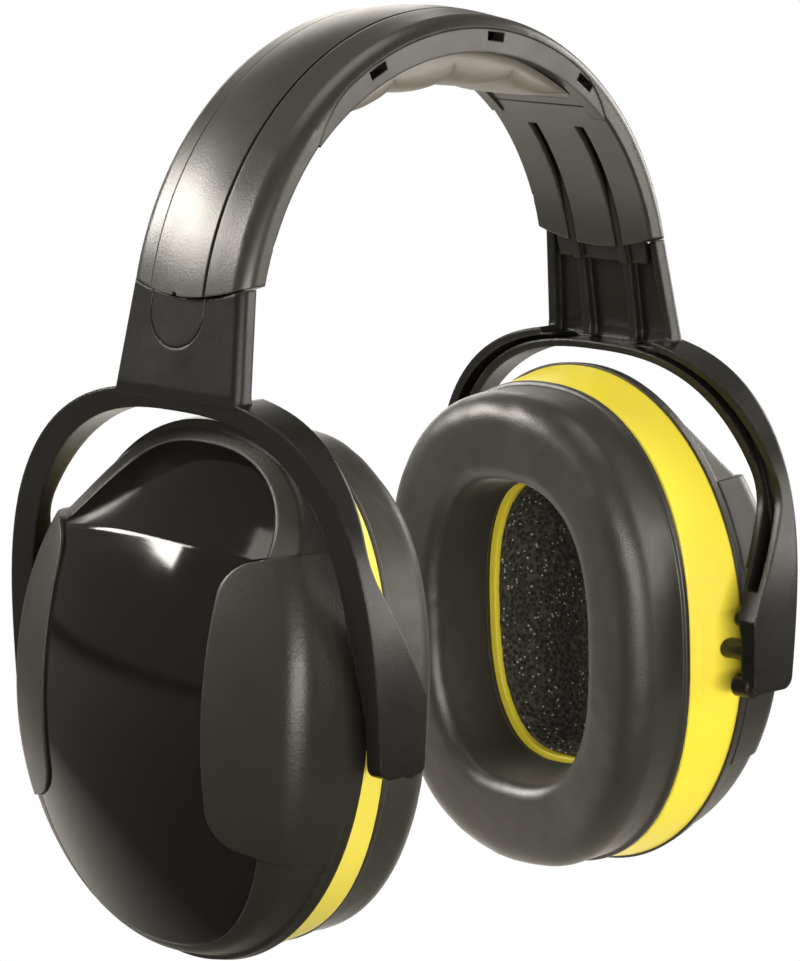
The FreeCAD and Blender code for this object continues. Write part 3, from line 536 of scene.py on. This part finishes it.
def softbox(name, place, width, height, watts):
    data = bpy.data.lights.new(name, "AREA")
    data.shape = "RECTANGLE"
    data.size = width
    data.size_y = height
    data.energy = watts
    data.color = LAMP_COLOUR
    lamp = bpy.data.objects.new(name, data)
    lamp.location = place
    lamp.rotation_euler = (Vector(LAMP_AIM) - Vector(place)).to_track_quat("-Z", "Y").to_euler()
    bpy.context.scene.collection.objects.link(lamp)


FLOOR_HALF = 3.0
FLOOR_Z = -0.0135          # clear of the cups at their lowest adjustment
BOARD_CENTRE = (0.08, 0.12, 0.0)
BOARD_R, BOARD_FADE_R = 0.14, 0.20
BOARD_TONE = (0.80, 0.79, 0.76)
OUTER_TONE = (0.06, 0.059, 0.056)


def floor():
    """Plain floor: a white board under and behind the object, dark further out."""
    size = FLOOR_HALF
    mesh = bpy.data.meshes.new("floor")
    mesh.from_pydata([(-size, -size, 0), (size, -size, 0), (size, size, 0), (-size, size, 0)], [],
                     [(0, 1, 2, 3)])
    obj = bpy.data.objects.new("floor", mesh)
    bpy.context.scene.collection.objects.link(obj)
    material, nodes, links = new_material("floor_finish")
    shader = nodes["Principled BSDF"]
    reach = nodes.new("ShaderNodeVectorMath")
    reach.operation = "DISTANCE"
    reach.inputs[1].default_value = BOARD_CENTRE
    links.new(nodes.new("ShaderNodeTexCoord").outputs["Object"], reach.inputs[0])
    board = ramp_node(nodes, links, reach.outputs["Value"],
                      [(BOARD_R, BOARD_TONE), (BOARD_FADE_R, OUTER_TONE)])
    links.new(board, shader.inputs["Base Color"])
    shader.inputs["Roughness"].default_value = 0.9
    glow = nodes.new("ShaderNodeEmission")
    glow.inputs["Strength"].default_value = 1.0
    white_to_camera(nodes, links, shader.outputs["BSDF"], glow.outputs["Emission"], "Material Output")
    obj.data.materials.append(material)
    obj.location.z = FLOOR_Z


# the camera looks at the middle of the object from the front, left and a little above
AZIMUTH, ELEVATION, ROLL = (math.radians(degrees) for degrees in (-45.5, 9.77, 0.25))
DISTANCE = 0.92
TARGET = Vector((-0.001132, 0.001132, MM * (PIVOT_Z + 34.76)))
IMAGE_HEIGHT = 961.0       # in pixels, as the focal length
FOCAL_LENGTH = 4708.0
SENSOR = 36.0


def camera():
    away = Vector((math.sin(AZIMUTH) * math.cos(ELEVATION), -math.cos(AZIMUTH) * math.cos(ELEVATION),
                   math.sin(ELEVATION)))
    level = Vector((math.cos(AZIMUTH), math.sin(AZIMUTH), 0.0))
    upward = away.cross(level)
    right = level * math.cos(ROLL) + upward * math.sin(ROLL)
    top = upward * math.cos(ROLL) - level * math.sin(ROLL)
    turn = Matrix((right, top, away)).transposed().to_4x4()
    data = bpy.data.cameras.new("camera")
    data.sensor_width = SENSOR
    data.lens = FOCAL_LENGTH * SENSOR / IMAGE_HEIGHT
    obj = bpy.data.objects.new("camera", data)
    obj.matrix_world = Matrix.Translation(TARGET + away * DISTANCE) @ turn
    bpy.context.scene.collection.objects.link(obj)
    bpy.context.scene.camera = obj


world_light()
floor()
for box in SOFTBOXES:
    softbox(*box)
camera()
bpy.context.scene.view_settings.view_transform = "Standard"
